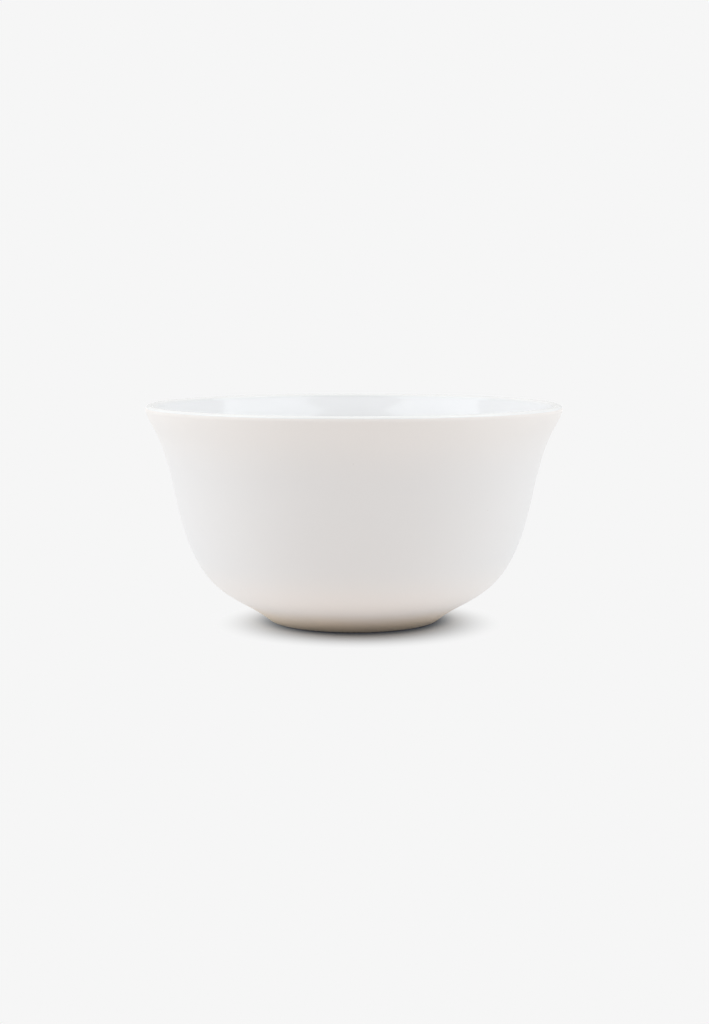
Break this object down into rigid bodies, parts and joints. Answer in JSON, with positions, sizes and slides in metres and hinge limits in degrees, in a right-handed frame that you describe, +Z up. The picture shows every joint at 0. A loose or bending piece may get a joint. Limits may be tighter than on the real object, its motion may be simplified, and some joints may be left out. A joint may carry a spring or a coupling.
{
  "type": "shaving bowl",
  "caption": "Footed porcelain shaving bowl with a full belly and flared, rounded lip: matte bare porcelain outside, glossy glaze inside, for working up lather.",
  "frame": {"origin": "centre of the foot ring, on the surface it stands on", "axes": "+Z up along the axis the bowl was turned about; X and Y are equal, because the bowl is round"},
  "size_m": [0.12, 0.12, 0.0627],
  "materials": {
    "bare_porcelain": "matte, unglazed, fine dark specks",
    "white_glaze": "glossy, cool white"
  },
  "bodies": {
    "root": {"porcelain_body": "bare_porcelain", "inner_glaze": "white_glaze"}
  },
  "joints": []
}
